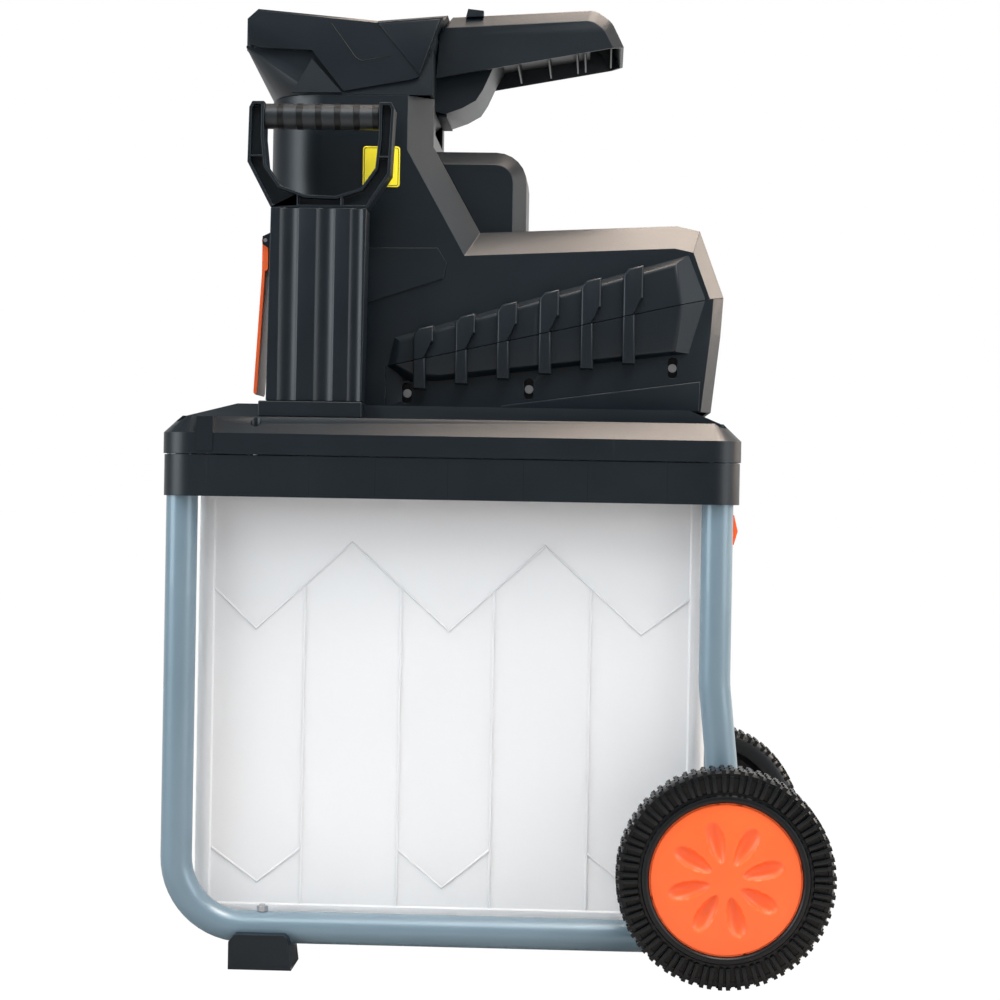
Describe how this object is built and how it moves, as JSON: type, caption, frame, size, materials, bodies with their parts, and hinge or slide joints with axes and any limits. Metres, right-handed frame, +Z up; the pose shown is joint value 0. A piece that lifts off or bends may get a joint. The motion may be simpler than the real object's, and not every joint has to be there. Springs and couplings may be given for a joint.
{
  "type": "garden shredder",
  "caption": "Upright garden shredder on a bent tube frame with wheels and feet: feed hopper, motor cover, plunger and a slide-out translucent collection box.",
  "frame": {"origin": "on the floor, at the middle of the bounding box", "axes": "+Z up, +X towards the rear (the wheels), -X the front (feet and stop flap), -Y the side seen in the picture"},
  "size_m": [0.663, 0.48, 0.964],
  "materials": {
    "black_plastic": "fine satin grain",
    "wheel_plastic": "matte, moulded tread",
    "tube_paint": "grey-blue powder coat",
    "orange_plastic": "satin",
    "box_plastic": "milky, translucent",
    "grip_rubber": "matte",
    "yellow_film": "printed film, blank",
    "green_plastic": "gloss",
    "red_plastic": "gloss",
    "steel": "bright",
    "iron": "laminated",
    "alloy": "cast"
  },
  "bodies": {
    "machine": {"frame_tube_near": "tube_paint", "frame_tube_far": "tube_paint", "cross_bars": "tube_paint", "foot_near": "black_plastic", "foot_far": "black_plastic", "foot_screws": "steel", "axle": "steel", "axle_fittings": "steel", "base_skirt": "black_plastic", "base_deck": "black_plastic", "deck_screws": "steel", "lock_guide": "black_plastic", "housing_upper": "black_plastic", "housing_lower": "black_plastic", "rear_grille": "black_plastic", "housing_screws": "steel", "control_box": "black_plastic", "power_inlet": "black_plastic", "capacitor": "alloy", "switch_panel": "black_plastic", "flap_pin": "steel", "side_sticker": "yellow_film", "side_badge": "black_plastic", "hopper_shell": "black_plastic", "hopper_lip": "black_plastic", "hopper_funnel": "black_plastic", "plunger_holder": "black_plastic", "cutter_plate": "alloy", "gearbox_plate": "alloy", "bearings": "steel", "cluster_shaft": "steel", "gearbox_case": "alloy", "motor_front_shield": "alloy", "motor_rear_shield": "alloy", "motor_stator": "iron"},
    "wheel_near": {"wheel_near": "wheel_plastic", "hub_cap_near": "orange_plastic"},
    "wheel_far": {"wheel_far": "wheel_plastic", "hub_cap_far": "orange_plastic"},
    "box": {"collection_box": "box_plastic", "box_handle": "black_plastic"},
    "lock": {"lock_slider": "orange_plastic"},
    "plunger": {"plunger_blade": "black_plastic", "plunger_handle": "black_plastic", "plunger_grip": "grip_rubber"},
    "flap": {"stop_flap": "orange_plastic"},
    "start": {"start_button": "green_plastic"},
    "stop": {"stop_button": "red_plastic"},
    "reset": {"reset_button": "orange_plastic"},
    "selector": {"direction_selector": "black_plastic"},
    "rotor": {"motor_rotor": "steel", "motor_shaft": "steel", "motor_fan": "black_plastic"},
    "cluster": {"cluster_gear": "steel"},
    "roller": {"cutter_roller": "steel", "roller_shaft": "steel", "roller_gear": "steel"},
    "knob": {"adjust_screw": "steel", "adjust_knob": "black_plastic"},
    "counter": {"counter_plate": "steel"}
  },
  "joints": [
    {"name": "motor_spin", "type": "hinge", "parent": "machine", "child": "rotor", "pos_m": [0.05, 0, 0.64], "axis": [1, 0, 0], "continuous": true},
    {"name": "cluster_spin", "type": "hinge", "parent": "machine", "child": "cluster", "pos_m": [-0.08, 0.05029, 0.626], "axis": [1, 0, 0], "continuous": true},
    {"name": "roller_spin", "type": "hinge", "parent": "machine", "child": "roller", "pos_m": [-0.164, 0, 0.612], "axis": [1, 0, 0], "continuous": true},
    {"name": "wheel_near_spin", "type": "hinge", "parent": "machine", "child": "wheel_near", "pos_m": [0.2265, -0.215, 0.105], "axis": [0, 1, 0], "continuous": true},
    {"name": "wheel_far_spin", "type": "hinge", "parent": "machine", "child": "wheel_far", "pos_m": [0.2265, 0.215, 0.105], "axis": [0, 1, 0], "continuous": true},
    {"name": "box_slide", "type": "slide", "parent": "machine", "child": "box", "axis": [-1, 0, 0], "range_m": [0, 0.52]},
    {"name": "lock_slide", "type": "slide", "parent": "machine", "child": "lock", "axis": [0, 0, -1], "range_m": [0, 0.01]},
    {"name": "plunger_lift", "type": "slide", "parent": "machine", "child": "plunger", "axis": [0, 0, 1], "range_m": [0, 0.25]},
    {"name": "flap_swing", "type": "hinge", "parent": "machine", "child": "flap", "pos_m": [-0.252, 0, 0.7273], "axis": [0, 1, 0], "range_deg": [-1.2, 95]},
    {"name": "start_press", "type": "slide", "parent": "machine", "child": "start", "axis": [1, 0, 0], "range_m": [0, 0.0025], "stiffness_N_per_m": 600},
    {"name": "stop_press", "type": "slide", "parent": "machine", "child": "stop", "axis": [1, 0, 0], "range_m": [0, 0.0025], "stiffness_N_per_m": 600},
    {"name": "reset_press", "type": "slide", "parent": "machine", "child": "reset", "axis": [0, -1, 0], "range_m": [0, 0.003], "stiffness_N_per_m": 500},
    {"name": "selector_turn", "type": "hinge", "parent": "machine", "child": "selector", "pos_m": [-0.0388, 0.06, 0.7919], "axis": [0, 1, 0], "range_deg": [-45, 45]},
    {"name": "knob_turn", "type": "hinge", "parent": "machine", "child": "knob", "pos_m": [-0.164, 0.115, 0.612], "axis": [0, 1, 0], "range_deg": [0, 720]},
    {"name": "counter_slide", "type": "slide", "parent": "machine", "child": "counter", "axis": [0, -1, 0], "range_m": [0, 0.0024]}
  ],
  "couplings": [
    {"joint": "cluster_spin", "follows": "motor_spin", "ratio": -0.2},
    {"joint": "roller_spin", "follows": "motor_spin", "ratio": 0.04},
    {"joint": "knob_turn", "follows": "counter_slide", "rad_per_m": 5236}
  ]
}
